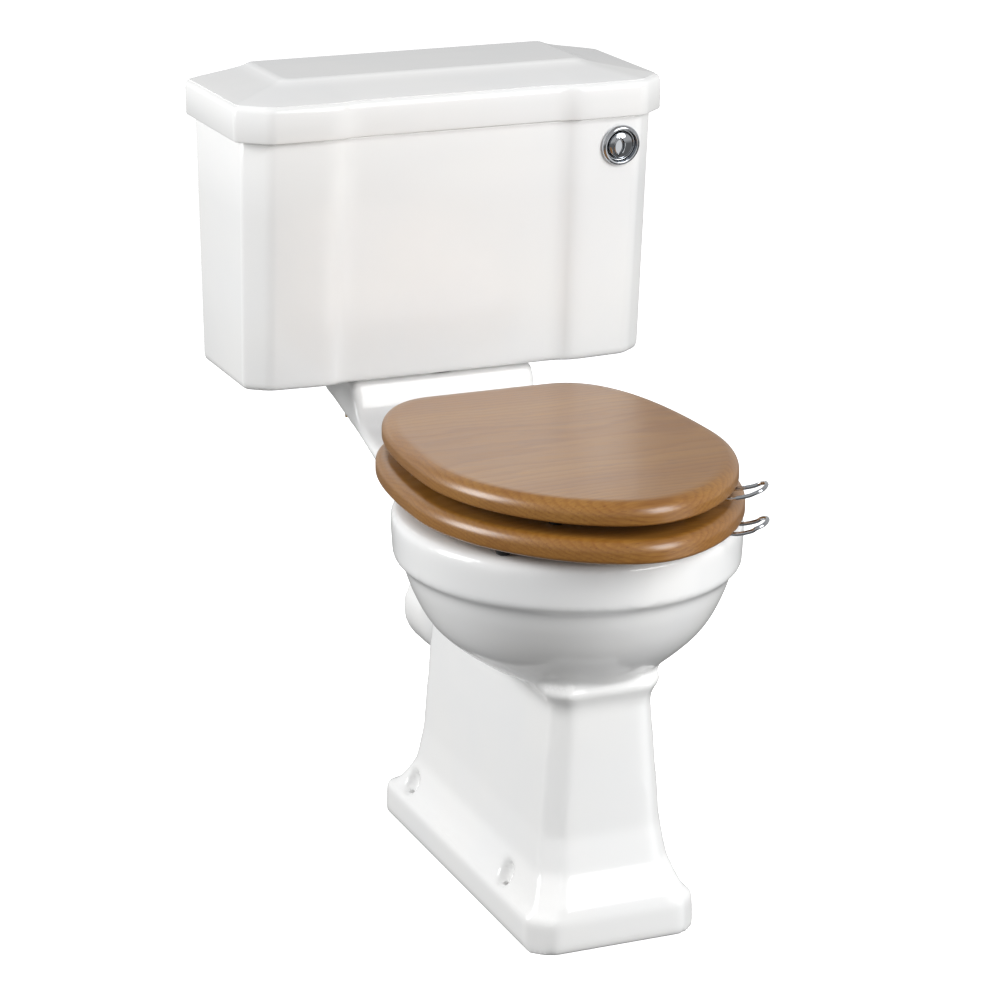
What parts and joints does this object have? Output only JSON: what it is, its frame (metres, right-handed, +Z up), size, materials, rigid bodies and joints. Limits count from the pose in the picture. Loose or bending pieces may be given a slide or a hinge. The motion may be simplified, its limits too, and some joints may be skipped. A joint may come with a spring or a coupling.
{
  "type": "close coupled toilet",
  "caption": "Floor-standing close coupled toilet with a lidded cistern, push button flush and a hinged oak seat and cover.",
  "frame": {"origin": "on the floor, under the middle of the toilet's bounding box", "axes": "+Z up, -Y to the front of the toilet, +Y to the wall, +X to the right seen from the front"},
  "size_m": [0.52, 0.758, 0.8695],
  "materials": {
    "glazed_china": "gloss white vitreous glaze",
    "oak": "satin lacquered oak",
    "chrome": "polished chrome plate",
    "black_rubber": "matt",
    "brass": "turned and threaded",
    "white_plastic": "moulded",
    "blue_plastic": "moulded"
  },
  "bodies": {
    "ceramic_and_fittings": {"pan": "glazed_china", "cistern": "glazed_china", "coupling_seal": "black_rubber", "coupling_bolt_left": "brass", "coupling_bolt_right": "brass", "coupling_washer_left": "black_rubber", "coupling_washer_right": "black_rubber", "coupling_wing_nut_left": "brass", "coupling_wing_nut_right": "brass", "cistern_pad_left": "black_rubber", "cistern_pad_right": "black_rubber", "flush_valve_cage": "white_plastic", "flush_valve_nut": "white_plastic", "flush_valve_head": "blue_plastic", "fill_valve_riser": "white_plastic", "fill_valve_washer": "black_rubber", "fill_valve_nut": "white_plastic", "fill_valve_cap": "white_plastic", "button_bezel": "chrome", "button_nut": "white_plastic", "button_barrel": "white_plastic", "flush_cable": "black_rubber", "hinge_rod": "chrome", "hinge_pillar_left": "chrome", "hinge_pillar_right": "chrome", "hinge_stud_left": "brass", "hinge_stud_right": "brass", "hinge_nut_left": "brass", "hinge_nut_right": "brass"},
    "lift_off_lid": {"cistern_lid": "glazed_china"},
    "full_button": {"full_flush_button": "chrome"},
    "half_button": {"half_flush_button": "chrome"},
    "flush_piston": {"flush_valve_piston": "blue_plastic", "flush_valve_seal": "black_rubber"},
    "float": {"fill_valve_float": "blue_plastic"},
    "seat": {"seat_ring": "oak", "ring_leaf_left": "chrome", "ring_leaf_right": "chrome", "ring_bumper_front_left": "black_rubber", "ring_bumper_front_right": "black_rubber", "ring_bumper_rear_left": "black_rubber", "ring_bumper_rear_right": "black_rubber", "seat_ring_handle": "chrome"},
    "seat_cover": {"seat_lid": "oak", "lid_leaf_left": "chrome", "lid_leaf_right": "chrome", "lid_bumper_front_left": "black_rubber", "lid_bumper_front_right": "black_rubber", "lid_bumper_rear_left": "black_rubber", "lid_bumper_rear_right": "black_rubber", "seat_lid_handle": "chrome"}
  },
  "joints": [
    {"name": "cistern_lid_lift", "type": "slide", "parent": "ceramic_and_fittings", "child": "lift_off_lid", "axis": [0, 0, 1], "range_m": [0, 0.12]},
    {"name": "seat_ring_hinge", "type": "hinge", "parent": "ceramic_and_fittings", "child": "seat", "pos_m": [0, 0.117, 0.482], "axis": [1, 0, 0], "range_deg": [-90, 0]},
    {"name": "seat_lid_hinge", "type": "hinge", "parent": "seat", "child": "seat_cover", "pos_m": [0, 0.117, 0.482], "axis": [-1, 0, 0], "range_deg": [0, 90]},
    {"name": "full_flush_press", "type": "slide", "parent": "ceramic_and_fittings", "child": "full_button", "axis": [-0.0417, 0.9944, 0.0976], "range_m": [0, 0.0045], "stiffness_N_per_m": 300},
    {"name": "half_flush_press", "type": "slide", "parent": "ceramic_and_fittings", "child": "half_button", "axis": [-0.0417, 0.9944, 0.0976], "range_m": [0, 0.0045], "stiffness_N_per_m": 300},
    {"name": "flush_piston_lift", "type": "slide", "parent": "ceramic_and_fittings", "child": "flush_piston", "axis": [0, 0, 1], "range_m": [0, 0.018]},
    {"name": "float_rise", "type": "slide", "parent": "ceramic_and_fittings", "child": "float", "axis": [0, 0, 1], "range_m": [0, 0.045]}
  ],
  "couplings": [
    {"joint": "flush_piston_lift", "follows": "full_flush_press", "ratio": 4}
  ]
}
